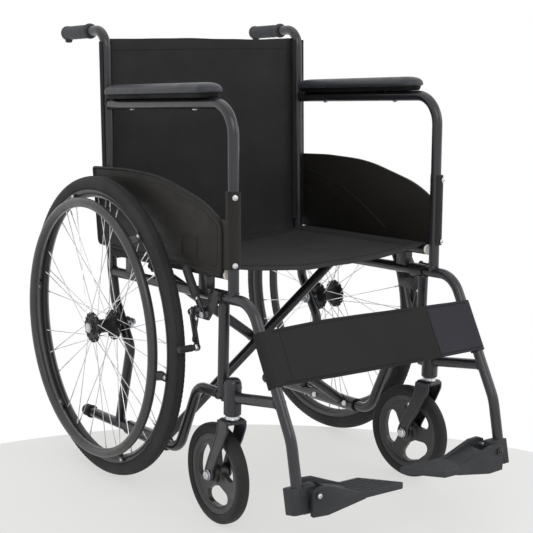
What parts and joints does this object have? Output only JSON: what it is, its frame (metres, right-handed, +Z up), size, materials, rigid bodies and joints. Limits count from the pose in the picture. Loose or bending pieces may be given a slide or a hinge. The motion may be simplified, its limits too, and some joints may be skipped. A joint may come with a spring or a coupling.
{
  "type": "manual wheelchair",
  "caption": "Folding manual wheelchair with fixed padded armrests, skirt guards, spoked rear wheels with handrims, swivel casters, wheel locks and flip-up footplates.",
  "frame": {"origin": "on the ground, under the middle of the bounding box", "axes": "+Z up, -Y the way the sitter faces, -X the sitter's right"},
  "size_m": [0.6414, 0.935, 0.8906],
  "materials": {
    "frame_paint": "satin",
    "handrim_paint": "satin",
    "zinc": "satin",
    "black_nylon": "matte",
    "tyre_rubber": "matte",
    "black_rubber": "matte",
    "grip_rubber": "matte",
    "guard_plastic": "satin",
    "caster_plastic": "satin",
    "foot_plastic": "satin",
    "pad_vinyl": "satin",
    "white_plastic": "satin"
  },
  "bodies": {
    "right_frame": {"right_back_post": "frame_paint", "right_armrest_tube": "frame_paint", "right_side_rail": "frame_paint", "right_lower_rail": "frame_paint", "right_front_post": "frame_paint", "right_caster_housing": "frame_paint", "right_caster_strut": "frame_paint", "right_tip_cap": "black_rubber", "right_grip": "grip_rubber", "right_armrest_pad": "pad_vinyl", "right_skirt_guard": "guard_plastic", "right_wheel_axle": "zinc", "right_brake_bracket": "frame_paint", "right_footplate_clamp": "foot_plastic", "seat_sling": "black_nylon", "back_sling": "black_nylon", "calf_strap": "black_nylon"},
    "brace_front": {"brace_front": "frame_paint", "brace_pivot_bolt": "zinc", "left_seat_rail_front_plug": "white_plastic", "left_seat_rail_rear_plug": "white_plastic"},
    "brace_rear": {"brace_rear": "frame_paint", "right_seat_rail_front_plug": "white_plastic", "right_seat_rail_rear_plug": "white_plastic"},
    "left_frame": {"left_back_post": "frame_paint", "left_armrest_tube": "frame_paint", "left_side_rail": "frame_paint", "left_lower_rail": "frame_paint", "left_front_post": "frame_paint", "left_caster_housing": "frame_paint", "left_caster_strut": "frame_paint", "left_tip_cap": "black_rubber", "left_grip": "grip_rubber", "left_armrest_pad": "pad_vinyl", "left_skirt_guard": "guard_plastic", "left_wheel_axle": "zinc", "left_brake_bracket": "frame_paint", "left_footplate_clamp": "foot_plastic"},
    "right_wheel": {"right_wheel_tyre": "tyre_rubber", "right_wheel_rim": "frame_paint", "right_wheel_spoked_hub": "zinc", "right_handrim": "handrim_paint"},
    "right_caster_fork": {"right_caster_fork": "frame_paint", "right_caster_axle": "zinc"},
    "right_caster_wheel": {"right_caster_core": "caster_plastic", "right_caster_tyre": "tyre_rubber"},
    "right_brake_lever": {"right_brake_lever": "frame_paint"},
    "right_brake_shoe": {"right_brake_shoe": "frame_paint"},
    "right_footplate": {"right_footplate": "foot_plastic"},
    "left_wheel": {"left_wheel_tyre": "tyre_rubber", "left_wheel_rim": "frame_paint", "left_wheel_spoked_hub": "zinc", "left_handrim": "handrim_paint"},
    "left_caster_fork": {"left_caster_fork": "frame_paint", "left_caster_axle": "zinc"},
    "left_caster_wheel": {"left_caster_core": "caster_plastic", "left_caster_tyre": "tyre_rubber"},
    "left_brake_lever": {"left_brake_lever": "frame_paint"},
    "left_brake_shoe": {"left_brake_shoe": "frame_paint"},
    "left_footplate": {"left_footplate": "foot_plastic"}
  },
  "joints": [
    {"name": "fold", "type": "hinge", "parent": "right_frame", "child": "brace_front", "pos_m": [-0.235, 0.0345, 0.0947], "axis": [0, -0.9974, 0.0718], "range_deg": [0, 35], "deforming": ["seat_sling", "back_sling", "calf_strap"]},
    {"name": "brace_cross", "type": "hinge", "parent": "brace_front", "child": "brace_rear", "pos_m": [0, 0.0345, 0.269], "axis": [0, -0.9974, 0.0718], "range_deg": [-70, 0]},
    {"name": "left_frame_carry", "type": "hinge", "parent": "brace_rear", "child": "left_frame", "pos_m": [0.235, 0.0345, 0.0947], "axis": [0, -0.9974, 0.0718], "range_deg": [0, 35]},
    {"name": "right_wheel_spin", "type": "hinge", "parent": "right_frame", "child": "right_wheel", "pos_m": [-0.281, 0.1675, 0.3], "axis": [1, 0, 0], "continuous": true},
    {"name": "right_caster_swivel", "type": "hinge", "parent": "right_frame", "child": "right_caster_fork", "pos_m": [-0.235, -0.2335, 0.24], "axis": [0, 0, 1], "continuous": true},
    {"name": "right_caster_spin", "type": "hinge", "parent": "right_caster_fork", "child": "right_caster_wheel", "pos_m": [-0.23404, -0.18751, 0.0944], "axis": [0.9998, -0.0209, 0], "continuous": true},
    {"name": "right_brake_lever_turn", "type": "hinge", "parent": "right_frame", "child": "right_brake_lever", "pos_m": [-0.256, -0.1645, 0.392], "axis": [1, 0, 0], "range_deg": [0, 45]},
    {"name": "right_brake_shoe_turn", "type": "hinge", "parent": "right_frame", "child": "right_brake_shoe", "pos_m": [-0.256, -0.1255, 0.389], "axis": [1, 0, 0], "range_deg": [0, 6.75]},
    {"name": "right_footplate_flip", "type": "hinge", "parent": "right_frame", "child": "right_footplate", "pos_m": [-0.21, -0.4345, 0.137], "axis": [0, -1, 0], "range_deg": [0, 90]},
    {"name": "left_wheel_spin", "type": "hinge", "parent": "left_frame", "child": "left_wheel", "pos_m": [0.281, 0.1675, 0.3], "axis": [1, 0, 0], "continuous": true},
    {"name": "left_caster_swivel", "type": "hinge", "parent": "left_frame", "child": "left_caster_fork", "pos_m": [0.235, -0.2335, 0.24], "axis": [0, 0, 1], "continuous": true},
    {"name": "left_caster_spin", "type": "hinge", "parent": "left_caster_fork", "child": "left_caster_wheel", "pos_m": [0.2286, -0.18795, 0.0944], "axis": [0.9903, 0.1392, 0], "continuous": true},
    {"name": "left_brake_lever_turn", "type": "hinge", "parent": "left_frame", "child": "left_brake_lever", "pos_m": [0.256, -0.1645, 0.392], "axis": [1, 0, 0], "range_deg": [0, 45]},
    {"name": "left_brake_shoe_turn", "type": "hinge", "parent": "left_frame", "child": "left_brake_shoe", "pos_m": [0.256, -0.1255, 0.389], "axis": [1, 0, 0], "range_deg": [0, 6.75]},
    {"name": "left_footplate_flip", "type": "hinge", "parent": "left_frame", "child": "left_footplate", "pos_m": [0.21, -0.4345, 0.137], "axis": [0, 1, 0], "range_deg": [0, 90]}
  ],
  "couplings": [
    {"joint": "brace_cross", "follows": "fold", "ratio": -2},
    {"joint": "left_frame_carry", "follows": "fold", "ratio": 1},
    {"joint": "right_brake_shoe_turn", "follows": "right_brake_lever_turn", "ratio": 0.15},
    {"joint": "right_footplate_flip", "follows": "fold", "ratio": 2.5714},
    {"joint": "left_brake_shoe_turn", "follows": "left_brake_lever_turn", "ratio": 0.15},
    {"joint": "left_footplate_flip", "follows": "fold", "ratio": 2.5714}
  ]
}
